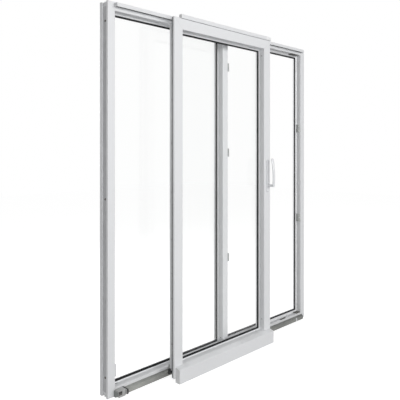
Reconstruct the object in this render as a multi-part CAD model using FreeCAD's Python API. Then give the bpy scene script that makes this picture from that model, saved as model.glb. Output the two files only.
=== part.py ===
import FreeCAD, Part

import math
import os

# Parallel sliding patio door seen from the room: a white outer frame with two equal
# lights, a fixed pane in the left one and the doorway in the right one, and one glazed
# leaf that hangs in front of the frame on a guide rail and rolls on a running rail.
# Millimetres. X runs along the wall, +Y goes outdoors and +Z is up. The origin is on
# the flat underside of the sill, at the middle of the frame's width and depth.

V = FreeCAD.Vector

# Outer frame
frame_width = 1844.0
frame_height = 2100.0
frame_depth = 73.0
frame_face = 47.0
mullion_face = 48.0
rebate_depth = 43.0
lip_height = 10.0
lip_thickness = 5.0
edge_round = 2.5
small_round = 1.0

# Recess along the frame's outer edge, and the rib in it under the sill and over the head
recess_depth = 7.0
recess_start = 14.5
recess_end_margin = 18.5
rib_width = 8.0

# Frame fixing holes, three in line down each jamb
fixing_radius = 5.0
fixing_depth_place = 31.5
fixing_end_margin = 103.0

# Glazing
glass_thickness = 8.0
glass_edge_gap = 3.0
gasket_face = 9.0
frame_gasket_thickness = 1.5
sash_gasket_thickness = 1.0
gasket_stand = 3.0
gasket_slope = 2.0
bead_slope = 4.0
bar_joint = 0.2

# Doorway stop and its weather seal
stop_step = 2.0
stop_reach = 6.0
stop_round = 2.0
seal_thickness = 6.0
seal_slope = 3.0

# Leaf
sash_depth = 68.0
sash_face = 65.0
sash_reveal = 44.0
sash_lip_thickness = 3.0
overlap_lip = 25.0
overlap_thickness = 15.0
side_lap = 18.0
head_lap = 12.5
sill_lap = 25.0
sash_gap = 43.0
rest_slide = 557.0
overlap_seal_width = 7.0
overlap_seal_inset = 2.0
overlap_seal_thickness = 8.0
overlap_seal_slope = 2.0

# Locking gear in the leaf's edges
lock_strip_width = 16.0
lock_strip_thickness = 3.0
lock_strip_place = 36.0
lock_strip_end_margin = 90.0
cam_radius = 5.0
cam_height = 5.0
cam_neck_radius = 3.0
cam_neck_height = 3.0

# Guide rail under the head's room face
guide_left_margin = 43.0
guide_right_margin = 51.0
guide_depth = 29.0
guide_height = 20.0
guide_top_gap = 9.0
guide_wall = 2.5
guide_slot = 15.0
guide_round = 1.5
guide_cap_thickness = 3.0

# Running rail on the sill's room face
rail_left_margin = 42.0
rail_right_margin = 34.0
rail_right_slant = 43.0
rail_depth = 39.5
rail_top = 33.0
rail_wall = 3.0
rail_back_bottom = 9.0
rail_lip_bottom = 14.0
rail_bead = 3.0
rail_cap_thickness = 3.0
rail_cap_bottom = 1.0
rail_cap_foot = 14.0

# End stop, clip and buffer
stop_end_margin = 40.0
stop_length = 44.0
stop_top = 42.0
stop_bottom = 9.0
stop_cheek = 5.0
stop_back_gap = 8.5
stop_top_round = 4.0
stop_nose_length = 10.0
stop_nose_cheek = 14.0
stop_nose_bottom = 17.0
stop_nose_round = 4.0
stop_screw_radius = 3.0
stop_screw_place = 6.5
stop_screw_pitch = 12.0
stop_screw_height = 30.0
clip_end_margin = 156.0
clip_width = 12.0
clip_wall = 2.0
jamb_block_bottom = 104.0
jamb_block_height = 64.0
jamb_block_reach = 9.0
jamb_block_depth = 18.0

# Keeps, the plates that catch the leaf's cams
keep_thickness = 5.0
keep_depth = 33.5
jamb_keep_height = 60.0
jamb_keep_from_sill = 786.0
jamb_keep_from_head = 617.0
mullion_keep_height = 54.0
mullion_keep_from_sill = 606.0
mullion_keep_above_middle = 246.0
mullion_keep_from_head = 242.0
keep_mouth_width = 12.0
keep_mouth_depth = 16.0
keep_round = 2.0
head_keep_length = 88.0
head_keep_edge_margin = 69.0
sill_keep_length = 60.0
sill_keep_edge_margin = 225.5
sill_keep_depth = 12.0
sill_keep_mouth_depth = 5.0
corner_keep_length = 52.0

# Covers on the leaf
cover_wall = 2.2
top_cover_height = 23.0
top_cover_drop = 2.5
top_cover_front = 8.0
top_cover_back = 16.0
top_cover_left_inset = 51.0
top_cover_right_inset = 1.5
top_cover_round = 2.0
top_cap_length = 49.0
top_left_cap_length = 3.0
bottom_cover_inset = 8.5
bottom_cover_reach = 33.0
bottom_cover_bottom = 4.0
bottom_cover_front_top = 80.0
bottom_cover_back_top = 88.0
bottom_cover_shoulder_round = 8.0
bottom_cover_round = 2.0
bottom_cover_foot = 12.0
bottom_cover_seat_bottom = 66.0
bottom_cap_thickness = 3.0

# Carriages and rollers
carriage_inset = 46.0
carriage_length = 110.0
carriage_back_gap = 9.0
carriage_front_gap = 5.0
carriage_bottom_gap = 7.0
carriage_height = 20.0
carriage_round = 2.0
roller_radius = 13.0
roller_width = 11.0
roller_end_margin = 22.0
roller_lift = 0.3
roller_side_clearance = 1.0
axle_radius = 2.0
buffer_length = 35.0
buffer_tail_length = 20.0
buffer_rail_clearance = 5.0
buffer_thickness = 9.0
buffer_bottom = 28.0
buffer_top = 58.0
buffer_leaf_clearance = 1.0
buffer_round = 2.0
arm_thickness = 4.0
arm_width = 40.0
arm_reach = 50.0
arm_lip = 8.0
arm_bend = 2.0

# Stay arms from the leaf's top to the sliders in the guide rail
stay_thickness = 3.0
stay_end_radius = 9.0
stay_pivot_place = 28.0
stay_inset = 150.0
stay_run = 120.0
slider_length = 40.0
slider_clearance = 3.0
slider_height = 9.0
pin_radius = 3.0
pivot_radius = 6.0

# Handle
handle_axis_height = 1071.0
plate_width = 26.0
plate_thickness = 10.0
plate_below_axis = 44.5
plate_above_axis = 174.5
plate_bevel = 2.0
lever_clearance = 0.3
lever_neck_radius = 9.0
lever_reach = 44.0
lever_tip_reach = 34.0
lever_bow = 6.0
lever_length = 185.0
lever_width = 20.0
lever_thickness = 11.0
lever_bevel = 2.5

# How far a cutting tool runs past the surface it cuts, and how near an edge counts as flat
cut_margin = 1.0
rim_tolerance = 0.01

# Places worked out from the sizes above
room_face = -frame_depth / 2
frame_left = -frame_width / 2
frame_right = frame_width / 2
mullion_left = -mullion_face / 2
mullion_right = mullion_face / 2
light_left = frame_left + frame_face
door_right = frame_right - frame_face
light_bottom = frame_face
light_top = frame_height - frame_face
sight = lip_height + gasket_face
stop_sight = sight + stop_reach

sash_back = room_face - sash_gap
sash_front = sash_back - sash_depth
sash_width = door_right - mullion_right + 2 * side_lap
sash_left = mullion_right - side_lap - rest_slide
sash_right = sash_left + sash_width
sash_bottom = light_bottom - sill_lap
sash_top = light_top + head_lap
body_bottom = sash_bottom + overlap_lip
body_top = sash_top - overlap_lip

jamb_keep_places = (jamb_keep_from_sill, frame_height - jamb_keep_from_head)
mullion_keep_places = (
    mullion_keep_from_sill,
    frame_height / 2 + mullion_keep_above_middle,
    frame_height - mullion_keep_from_head,
)

guide_top = frame_height - guide_top_gap
guide_bottom = guide_top - guide_height
slot_centre = room_face - guide_depth / 2

rail_front = room_face - rail_depth
bead_top = rail_top + rail_bead
carriage_back = room_face - carriage_back_gap
carriage_front = sash_back + carriage_front_gap
carriage_low = bead_top + carriage_bottom_gap
carriage_high = carriage_low + carriage_height
axle_height = rail_top + roller_lift + roller_radius

handle_x = sash_right - sash_face / 2
plate_front = sash_front - plate_thickness


def rounded_face(points):
    """A face from (a, b, radius) corners in the XY plane; radius 0 leaves a corner sharp."""
    corners = [V(a, b, 0) for a, b, radius in points]
    count = len(points)
    edges = []
    starts = []
    ends = []
    for i in range(count):
        corner = corners[i]
        radius = points[i][2]
        if radius == 0:
            starts.append(corner)
            ends.append(corner)
            edges.append(None)
            continue
        to_last = (corners[i - 1] - corner).normalize()
        to_next = (corners[(i + 1) % count] - corner).normalize()
        half = to_last.getAngle(to_next) / 2
        reach = radius / math.tan(half)
        middle = corner + (to_last + to_next).normalize() * (radius / math.sin(half) - radius)
        start = corner + to_last * reach
        end = corner + to_next * reach
        starts.append(start)
        ends.append(end)
        edges.append(Part.Arc(start, middle, end).toShape())
    outline = []
    for i in range(count):
        if edges[i]:
            outline.append(edges[i])
        following = (i + 1) % count
        if (starts[following] - ends[i]).Length > 1e-6:
            outline.append(Part.makeLine(ends[i], starts[following]))
    return Part.Face(Part.Wire(outline))


def placed(face, x_axis, y_axis, origin):
    """Put a face drawn in XY on the plane of two given axes."""
    z_axis = x_axis.cross(y_axis)
    matrix = FreeCAD.Matrix(
        x_axis.x, y_axis.x, z_axis.x, origin.x,
        x_axis.y, y_axis.y, z_axis.y, origin.y,
        x_axis.z, y_axis.z, z_axis.z, origin.z,
        0, 0, 0, 1,
    )
    copy = face.copy()
    copy.transformShape(matrix)
    return copy


def bar_along_x(points, x_start, x_end):
    """A straight length along X of an outline given as (y, z, radius) corners."""
    face = placed(rounded_face(points), V(0, 1, 0), V(0, 0, 1), V(x_start, 0, 0))
    return face.extrude(V(x_end - x_start, 0, 0))


def box(x0, x1, y0, y1, z0, z1):
    return Part.makeBox(x1 - x0, y1 - y0, z1 - z0, V(x0, y0, z0))


def upright_plate(points, y0, y1):
    """A plate whose corners (x, z) lie on the wall's plane, between two depths."""
    corners = [(x, z, 0) for x, z in points]
    face = placed(rounded_face(corners), V(1, 0, 0), V(0, 0, 1), V(0, y0, 0))
    return face.extrude(V(0, y1 - y0, 0))


def upright_prism(points, z0, z1):
    """A prism over (x, y) corners on the floor, between two heights."""
    face = rounded_face([(x, y, 0) for x, y in points])
    face.translate(V(0, 0, z0))
    return face.extrude(V(0, 0, z1 - z0))


def mitred_members(outline, x0, x1, z0, z1, gap=0):
    """Four members of one outline round a rectangle, cut at 45 degrees where they meet.

    The outline's corners are (inward from the rectangle, y, radius). A gap shortens each
    member by that much at each end.
    """
    reach = max(u for u, y, radius in outline) + cut_margin
    y_low = min(y for u, y, radius in outline) - cut_margin
    y_high = max(y for u, y, radius in outline) + cut_margin
    bottom = bar_along_x([(y, z0 + u, radius) for u, y, radius in outline], x0, x1)
    bottom = bottom.common(upright_plate([
        (x0 + gap, z0),
        (x1 - gap, z0),
        (x1 - gap - reach, z0 + reach),
        (x0 + gap + reach, z0 + reach),
    ], y_low, y_high))
    upright = placed(rounded_face(outline), V(1, 0, 0), V(0, 1, 0), V(x0, 0, z0))
    left = upright.extrude(V(0, 0, z1 - z0))
    left = left.common(upright_plate([
        (x0, z0 + gap),
        (x0 + reach, z0 + gap + reach),
        (x0 + reach, z1 - gap - reach),
        (x0, z1 - gap),
    ], y_low, y_high))
    middle = V((x0 + x1) / 2, 0, (z0 + z1) / 2)
    return {
        "bottom": bottom,
        "top": bottom.mirror(middle, V(0, 0, 1)),
        "left": left,
        "right": left.mirror(middle, V(1, 0, 0)),
    }


def ring(outline, x0, x1, z0, z1):
    """The four mitred members welded into one."""
    members = mitred_members(outline, x0, x1, z0, z1)
    whole = members["bottom"].fuse([members["left"], members["top"], members["right"]])
    return whole.removeSplitter()


def bars(outline, x0, x1, z0, z1):
    """Four separate mitred bars with a hairline joint at each corner."""
    members = mitred_members(outline, x0, x1, z0, z1, bar_joint)
    return Part.makeCompound(list(members.values()))


def frame_outline():
    """Room face, rebate, glazing lip, glazing pocket and the recess of the outer edge."""
    back = room_face + frame_depth
    lip_front = room_face + rebate_depth
    lip_back = lip_front + lip_thickness
    recess_front = room_face + recess_start
    recess_back = back - recess_end_margin
    return [
        (0, room_face, edge_round),
        (frame_face, room_face, edge_round),
        (frame_face, lip_front, 0),
        (frame_face + lip_height, lip_front, small_round),
        (frame_face + lip_height, lip_back, 0),
        (frame_face, lip_back, 0),
        (frame_face, back, small_round),
        (0, back, small_round),
        (0, recess_back, 0),
        (recess_depth, recess_back, 0),
        (recess_depth, recess_front, 0),
        (0, recess_front, 0),
    ]


def frame_members():
    """Sill, head and jambs, with a rib in the sill's and the head's recess and fixing holes."""
    members = mitred_members(frame_outline(), frame_left, frame_right, 0, frame_height)
    rib_left = frame_left + recess_depth
    rib_right = frame_right - recess_depth
    for side, low in (("bottom", 0), ("top", frame_height - recess_depth)):
        rib = box(rib_left, rib_right, -rib_width / 2, rib_width / 2, low, low + recess_depth)
        members[side] = members[side].fuse(rib).removeSplitter()
    heights = [
        fixing_end_margin,
        frame_height / 2,
        frame_height - fixing_end_margin,
    ]
    for side, start in (("left", frame_left), ("right", door_right)):
        for height in heights:
            place = V(start - cut_margin, room_face + fixing_depth_place, height)
            hole = Part.makeCylinder(fixing_radius, frame_face + 2 * cut_margin, place,
                                     V(1, 0, 0))
            members[side] = members[side].cut(hole)
    return members


def mullion():
    """The middle post, notched at both ends over the lips of the sill and the head."""
    back = room_face + frame_depth
    lip_front = room_face + rebate_depth
    lip_back = lip_front + lip_thickness
    half = [
        (mullion_right, room_face, edge_round),
        (mullion_right, lip_front, 0),
        (mullion_right + lip_height, lip_front, small_round),
        (mullion_right + lip_height, lip_back, 0),
        (mullion_right, lip_back, 0),
        (mullion_right, back, small_round),
    ]
    other = [(-x, y, radius) for x, y, radius in reversed(half)]
    post = rounded_face(half + other).extrude(V(0, 0, light_top - light_bottom))
    post.translate(V(0, 0, light_bottom))
    reach = mullion_right + lip_height + cut_margin
    for low in (light_bottom, light_top - lip_height):
        post = post.cut(box(-reach, reach, lip_front, lip_back, low, low + lip_height))
    return post


def glazing(x0, x1, z0, z1, lip_back, gasket_thickness, back):
    """Pane, inner gasket and outer beads of one light, behind its lip."""
    glass_front = lip_back + gasket_thickness
    glass_back = glass_front + glass_thickness
    edge = glass_edge_gap
    pane = box(x0 + edge, x1 - edge, glass_front, glass_back, z0 + edge, z1 - edge)
    gasket_outline = [
        (edge, lip_back, 0),
        (lip_height, lip_back, 0),
        (lip_height, lip_back - gasket_stand, 0),
        (sight - gasket_slope, lip_back - gasket_stand, 0),
        (sight, glass_front, 0),
        (edge, glass_front, 0),
    ]
    gasket = ring(gasket_outline, x0, x1, z0, z1)
    bead_outline = [
        (0, glass_back, 0),
        (sight, glass_back, 0),
        (sight - bead_slope, back, 0),
        (0, back, 0),
    ]
    beads = bars(bead_outline, x0, x1, z0, z1)
    return pane, gasket, beads


def doorway_stop():
    """The flange round the doorway that the leaf closes against, with its weather seal."""
    lip_front = room_face + rebate_depth
    lip_back = lip_front + lip_thickness
    back = room_face + frame_depth
    inner_front = lip_front + stop_step
    seal_start = sight - seal_slope
    stop_outline = [
        (0, lip_back, 0),
        (lip_height, lip_back, 0),
        (lip_height, inner_front, 0),
        (stop_sight, inner_front, 0),
        (stop_sight, back, stop_round),
        (0, back, 0),
    ]
    seal_outline = [
        (seal_start, inner_front, 0),
        (seal_start, inner_front - seal_thickness, 0),
        (stop_sight - seal_slope, inner_front - seal_thickness, 0),
        (stop_sight, inner_front, 0),
    ]
    span = (mullion_right, door_right, light_bottom, light_top)
    return bars(stop_outline, *span), ring(seal_outline, *span)


def guide_rail():
    """A channel with its slot downward, and the caps that close its ends."""
    x0 = frame_left + guide_left_margin
    x1 = frame_right - guide_right_margin
    front = room_face - guide_depth
    slot_front = slot_centre - guide_slot / 2
    slot_back = slot_centre + guide_slot / 2
    inner_bottom = guide_bottom + guide_wall
    inner_top = guide_top - guide_wall
    outline = [
        (front, guide_bottom, guide_round),
        (slot_front, guide_bottom, 0),
        (slot_front, inner_bottom, 0),
        (front + guide_wall, inner_bottom, 0),
        (front + guide_wall, inner_top, 0),
        (room_face - guide_wall, inner_top, 0),
        (room_face - guide_wall, inner_bottom, 0),
        (slot_back, inner_bottom, 0),
        (slot_back, guide_bottom, 0),
        (room_face, guide_bottom, 0),
        (room_face, guide_top, 0),
        (front, guide_top, guide_round),
    ]
    cap_outline = [
        (front, guide_bottom, guide_round),
        (room_face, guide_bottom, 0),
        (room_face, guide_top, 0),
        (front, guide_top, guide_round),
    ]
    rail = bar_along_x(outline, x0, x1)
    caps = [
        bar_along_x(cap_outline, x0 - guide_cap_thickness, x0),
        bar_along_x(cap_outline, x1, x1 + guide_cap_thickness),
    ]
    return rail, Part.makeCompound(caps)


def running_rail():
    """A shelf with a raised front edge, a lip turned down and a flange on the sill.

    Its right end is cut slantwise, and a cap with a foot closes each end.
    """
    x0 = frame_left + rail_left_margin
    x1 = frame_right - rail_right_margin
    slant_start = x1 - rail_right_slant
    outline = [
        (room_face, rail_back_bottom, 0),
        (room_face, rail_top, 0),
        (rail_front + rail_bead, rail_top, 0),
        (rail_front + rail_bead, bead_top, small_round),
        (rail_front, bead_top, small_round),
        (rail_front, rail_lip_bottom, 0),
        (rail_front + rail_wall, rail_lip_bottom, 0),
        (rail_front + rail_wall, rail_top - rail_wall, 0),
        (room_face - rail_wall, rail_top - rail_wall, 0),
        (room_face - rail_wall, rail_back_bottom, 0),
    ]
    rail = bar_along_x(outline, x0, x1).common(upright_prism([
        (x0, rail_front),
        (slant_start, rail_front),
        (x1, room_face),
        (x0, room_face),
    ], 0, bead_top))
    cap_outline = [
        (room_face, rail_cap_bottom, 0),
        (room_face, rail_top, 0),
        (rail_front + rail_bead, rail_top, 0),
        (rail_front + rail_bead, bead_top, 0),
        (rail_front, bead_top, small_round),
        (rail_front, rail_lip_bottom, 0),
        (room_face - rail_cap_foot, rail_cap_bottom, 0),
    ]
    left_cap = bar_along_x(cap_outline, x0 - rail_cap_thickness, x0)
    right_cap = bar_along_x(cap_outline, slant_start, x1 + rail_cap_thickness)
    right_cap = right_cap.common(upright_prism([
        (slant_start, rail_front),
        (slant_start + rail_cap_thickness, rail_front),
        (x1 + rail_cap_thickness, room_face),
        (x1, room_face),
    ], 0, bead_top))
    return rail, Part.makeCompound([left_cap, right_cap])


def rail_end_stop():
    """The block over the rail's bead at its left end, with two holes and a wider round nose."""
    x0 = frame_left + stop_end_margin
    x1 = x0 + stop_length
    nose_end = x1 + stop_nose_length
    front = rail_front - stop_cheek
    nose_front = rail_front - stop_nose_cheek
    back = room_face - stop_back_gap
    over_bead = [
        (rail_front, bead_top, 0),
        (rail_front + rail_bead, bead_top, 0),
        (rail_front + rail_bead, rail_top, 0),
        (back, rail_top, 0),
        (back, stop_top, 0),
    ]
    block = bar_along_x(over_bead + [
        (front, stop_top, stop_top_round),
        (front, stop_bottom, small_round),
        (rail_front, stop_bottom, 0),
    ], x0, x1)
    nose = bar_along_x(over_bead + [
        (nose_front, stop_top, stop_top_round),
        (nose_front, stop_nose_bottom, small_round),
        (rail_front, stop_nose_bottom, 0),
    ], x1, nose_end)
    plan = rounded_face([
        (x1, nose_front, 0),
        (nose_end, nose_front, stop_nose_round),
        (nose_end, back, stop_nose_round),
        (x1, back, 0),
    ])
    nose = nose.common(plan.extrude(V(0, 0, stop_top)))
    for along in (stop_screw_place, stop_screw_place + stop_screw_pitch):
        place = V(x0 + along, front - cut_margin, stop_screw_height)
        hole = Part.makeCylinder(stop_screw_radius, stop_cheek + cut_margin, place, V(0, 1, 0))
        block = block.cut(hole)
    return block.fuse(nose).removeSplitter()


def rail_clip():
    """A small clip that hooks over the rail's bead."""
    x1 = frame_right - clip_end_margin
    outline = [
        (rail_front + rail_bead + clip_wall, rail_top, 0),
        (rail_front + rail_bead + clip_wall, bead_top + clip_wall, 0),
        (rail_front - clip_wall, bead_top + clip_wall, small_round),
        (rail_front - clip_wall, rail_lip_bottom, 0),
        (rail_front, rail_lip_bottom, 0),
        (rail_front, bead_top, 0),
        (rail_front + rail_bead, bead_top, 0),
        (rail_front + rail_bead, rail_top, 0),
    ]
    return bar_along_x(outline, x1 - clip_width, x1)


def jamb_block():
    x0 = light_left
    y0 = room_face + edge_round
    return box(x0, x0 + jamb_block_reach, y0, y0 + jamb_block_depth,
               jamb_block_bottom, jamb_block_bottom + jamb_block_height)


def keep_plate(length, depth, mouth_depth):
    """A plate in XY, long side along X, with a mouth that the cam slides into."""
    mouth = keep_mouth_width / 2
    half = length / 2
    points = [
        (-half, 0, 0),
        (-mouth, 0, 0),
        (-mouth, mouth_depth, 0),
        (mouth, mouth_depth, 0),
        (mouth, 0, 0),
        (half, 0, 0),
        (half, depth, keep_round),
        (-half, depth, keep_round),
    ]
    return rounded_face(points)


def upright_keep(x, toward, height, length):
    """A keep on a side face of a jamb or the mullion, facing along X."""
    start = V(x, room_face + edge_round, height)
    plate = keep_plate(length, keep_depth, keep_mouth_depth)
    face = placed(plate, V(0, 0, 1), V(0, 1, 0), start)
    return face.extrude(V(toward * keep_thickness, 0, 0))


def level_keep(plate, x, z, toward):
    """A keep on the sill's or the head's rebate, facing along Z."""
    face = placed(plate, V(1, 0, 0), V(0, 1, 0), V(x, room_face + edge_round, z))
    return face.extrude(V(0, 0, toward * keep_thickness))


def sash_outline():
    """Face, reveal, glazing lip and pocket, hardware groove and overlap of the leaf."""
    lip_front = sash_front + sash_reveal
    lip_back = lip_front + sash_lip_thickness
    groove_front = sash_front + lock_strip_place
    groove_back = groove_front + lock_strip_width
    overlap_back = sash_front + overlap_thickness
    return [
        (0, sash_front, edge_round),
        (sash_face, sash_front, edge_round),
        (sash_face, lip_front, 0),
        (sash_face + lip_height, lip_front, small_round),
        (sash_face + lip_height, lip_back, 0),
        (sash_face, lip_back, 0),
        (sash_face, sash_back, small_round),
        (overlap_lip, sash_back, small_round),
        (overlap_lip, groove_back, 0),
        (overlap_lip + lock_strip_thickness, groove_back, 0),
        (overlap_lip + lock_strip_thickness, groove_front, 0),
        (overlap_lip, groove_front, 0),
        (overlap_lip, overlap_back, 0),
        (0, overlap_back, small_round),
    ]


def overlap_seal():
    """The seal behind the leaf's overlap."""
    front = sash_front + overlap_thickness
    back = front + overlap_seal_thickness
    start = overlap_seal_inset
    end = start + overlap_seal_width
    outline = [
        (start, front, 0),
        (end, front, 0),
        (end - overlap_seal_slope, back, 0),
        (start, back, 0),
    ]
    return ring(outline, sash_left, sash_right, sash_bottom, sash_top)


def lock_strip(x_bottom_of_groove, outward, cam_places):
    """A face strip in the groove of a stile's edge, with mushroom cams standing on it."""
    groove_front = sash_front + lock_strip_place
    x0 = x_bottom_of_groove
    x1 = x0 + outward * lock_strip_thickness
    strip = box(min(x0, x1), max(x0, x1), groove_front, groove_front + lock_strip_width,
                body_bottom + lock_strip_end_margin, body_top - lock_strip_end_margin)
    middle = groove_front + lock_strip_width / 2
    profile = [
        (0, 0, 0),
        (cam_neck_radius, 0, 0),
        (cam_neck_radius, cam_neck_height, 0),
        (cam_radius, cam_neck_height, 0),
        (cam_radius, cam_height, 0),
        (0, cam_height, 0),
    ]
    for height in cam_places:
        cam = rounded_face(profile).revolve(V(0, 0, 0), V(0, 1, 0), 360)
        cam = placed(cam, V(0, 0, 1), V(outward, 0, 0), V(x1, middle, height))
        strip = strip.fuse(cam)
    return strip


def top_cover():
    """The hollow strip over the leaf's top edge, and its end caps."""
    x0 = sash_left + top_cover_left_inset
    x1 = sash_right - top_cover_right_inset
    low = sash_top - top_cover_drop
    high = low + top_cover_height
    front = sash_front - top_cover_front
    back = sash_front + top_cover_back
    outline = [
        (front, low, small_round),
        (front, high, top_cover_round),
        (back, high, small_round),
        (back, sash_top, 0),
        (sash_front, sash_top, 0),
        (sash_front, low, 0),
    ]
    strip_start = x0 + top_left_cap_length
    strip = bar_along_x(outline, strip_start, x1 - top_cap_length)
    hollow = box(x0, x1, front + cover_wall, back - cover_wall,
                 sash_top + cover_wall, high - cover_wall)
    strip = strip.cut(hollow)
    caps = [
        bar_along_x(outline, x0, strip_start),
        bar_along_x(outline, x1 - top_cap_length, x1),
    ]
    return strip, Part.makeCompound(caps)


def bottom_cover():
    """The board in front of the leaf's bottom rail, open at the back, and its caps."""
    x0 = sash_left + bottom_cover_inset
    x1 = sash_right - bottom_cover_inset
    front = sash_front - bottom_cover_reach
    wall = cover_wall
    low = bottom_cover_bottom
    board = bar_along_x([
        (front, low, bottom_cover_round),
        (front, bottom_cover_front_top, bottom_cover_shoulder_round),
        (sash_front, bottom_cover_back_top, 0),
        (sash_front, bottom_cover_seat_bottom, 0),
        (sash_front - wall, bottom_cover_seat_bottom, 0),
        (sash_front - wall, bottom_cover_back_top - wall, 0),
        (front + wall, bottom_cover_front_top - wall, bottom_cover_shoulder_round - wall),
        (front + wall, low + wall, 0),
        (front + bottom_cover_foot, low + wall, 0),
        (front + bottom_cover_foot, low, 0),
    ], x0 + bottom_cap_thickness, x1 - bottom_cap_thickness)
    cap_outline = [
        (front, low, bottom_cover_round),
        (front, bottom_cover_front_top, bottom_cover_shoulder_round),
        (sash_front, bottom_cover_back_top, 0),
        (sash_front, low, bottom_cover_round),
    ]
    caps = [
        bar_along_x(cap_outline, x0, x0 + bottom_cap_thickness),
        bar_along_x(cap_outline, x1 - bottom_cap_thickness, x1),
    ]
    return board, Part.makeCompound(caps)


def carriage(x0):
    """A roller housing on the rail and the flat arm that carries the leaf's bottom rail."""
    x1 = x0 + carriage_length
    housing = bar_along_x([
        (carriage_front, carriage_low, 0),
        (carriage_front, carriage_high, carriage_round),
        (carriage_back, carriage_high, carriage_round),
        (carriage_back, carriage_low, 0),
    ], x0, x1)
    middle_y = (carriage_front + carriage_back) / 2
    middle_x = (x0 + x1) / 2
    half = roller_width / 2 + roller_side_clearance
    space = roller_radius + roller_side_clearance
    for x in (x0 + roller_end_margin, x1 - roller_end_margin):
        housing = housing.cut(box(x - space, x + space, middle_y - half, middle_y + half,
                                  carriage_low - cut_margin, axle_height + space))
        axle = Part.makeCylinder(axle_radius, 2 * half, V(x, middle_y - half, axle_height),
                                 V(0, 1, 0))
        housing = housing.fuse(axle)
    arm_low = body_bottom - arm_thickness
    arm_end = carriage_front - arm_reach
    arm = bar_along_x([
        (carriage_front, arm_low, 0),
        (carriage_front, body_bottom, 0),
        (arm_end, body_bottom, arm_bend),
        (arm_end, arm_low - arm_lip, 0),
        (arm_end + arm_thickness, arm_low - arm_lip, 0),
        (arm_end + arm_thickness, arm_low, 0),
    ], middle_x - arm_width / 2, middle_x + arm_width / 2)
    return housing.fuse(arm).removeSplitter()


def rollers(x0):
    """The two rollers of one carriage."""
    middle_y = (carriage_front + carriage_back) / 2
    half = roller_width / 2
    profile = [
        (axle_radius, -half, 0),
        (roller_radius, -half, 0),
        (roller_radius, half, 0),
        (axle_radius, half, 0),
    ]
    shape = rounded_face(profile).revolve(V(0, 0, 0), V(0, 1, 0), 360)
    made = []
    for x in (x0 + roller_end_margin, x0 + carriage_length - roller_end_margin):
        copy = shape.copy()
        copy.translate(V(x, middle_y, axle_height))
        made.append(copy)
    return made


def carriage_buffer(x0):
    """The soft nose of the left carriage, which hangs before the rail and meets the end stop."""
    left = x0 - buffer_length
    right = x0 + buffer_tail_length
    back = rail_front - buffer_rail_clearance
    front = back - buffer_thickness
    post_end = sash_left + overlap_lip - buffer_leaf_clearance
    tail_top = body_bottom - buffer_leaf_clearance
    plate = placed(rounded_face([
        (left, buffer_bottom, buffer_round),
        (right, buffer_bottom, buffer_round),
        (right, tail_top, 0),
        (post_end, tail_top, 0),
        (post_end, buffer_top, buffer_round),
        (left, buffer_top, buffer_round),
    ]), V(1, 0, 0), V(0, 0, 1), V(0, back, 0)).extrude(V(0, front - back, 0))
    web = box(x0, right, front, carriage_front, carriage_low, tail_top)
    return plate.fuse(web).removeSplitter()


def stay_arm(pivot_x, slider_x):
    """A flat arm from its pivot on the leaf's top to the pin below the guide rail."""
    pivot = V(pivot_x, sash_back - stay_pivot_place, body_top)
    pin = V(slider_x, slot_centre, body_top)
    run = pin - pivot
    along = V(run.x, run.y, 0).normalize()
    across = V(-along.y, along.x, 0)
    r = stay_end_radius
    corners = [
        (pivot - across * r, pivot + across * r, pivot - along * r),
        (pin + across * r, pin - across * r, pin + along * r),
    ]
    edges = []
    for start, end, middle in corners:
        edges.append(Part.Arc(start, middle, end).toShape())
    edges.insert(1, Part.makeLine(corners[0][1], corners[1][0]))
    edges.append(Part.makeLine(corners[1][1], corners[0][0]))
    arm = Part.Face(Part.Wire(edges)).extrude(V(0, 0, stay_thickness))
    head = Part.makeCylinder(pivot_radius, stay_thickness, pivot + V(0, 0, stay_thickness))
    return arm.fuse(head)


def guide_slider(slider_x):
    """The pin that rises from a stay arm and the block that it carries in the guide rail."""
    floor = body_top + stay_thickness
    block_low = guide_bottom + guide_wall + slider_clearance
    half_depth = guide_depth / 2 - guide_wall - slider_clearance
    pin = Part.makeCylinder(pin_radius, block_low - floor, V(slider_x, slot_centre, floor))
    block = box(slider_x - slider_length / 2, slider_x + slider_length / 2,
                slot_centre - half_depth, slot_centre + half_depth,
                block_low, block_low + slider_height)
    return pin.fuse(block)


def handle_backplate():
    """The long plate with round ends and a bevelled rim on the right stile."""
    half = plate_width / 2
    low = handle_axis_height - plate_below_axis
    high = handle_axis_height + plate_above_axis
    points = [
        (handle_x - half, low, half),
        (handle_x + half, low, half),
        (handle_x + half, high, half),
        (handle_x - half, high, half),
    ]
    face = placed(rounded_face(points), V(1, 0, 0), V(0, 0, 1), V(0, sash_front, 0))
    plate = face.extrude(V(0, -plate_thickness, 0))
    rim = []
    for edge in plate.Edges:
        limits = edge.BoundBox
        if abs(limits.YMin - plate_front) < rim_tolerance > abs(limits.YMax - plate_front):
            rim.append(edge)
    return plate.makeChamfer(plate_bevel, rim)


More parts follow.
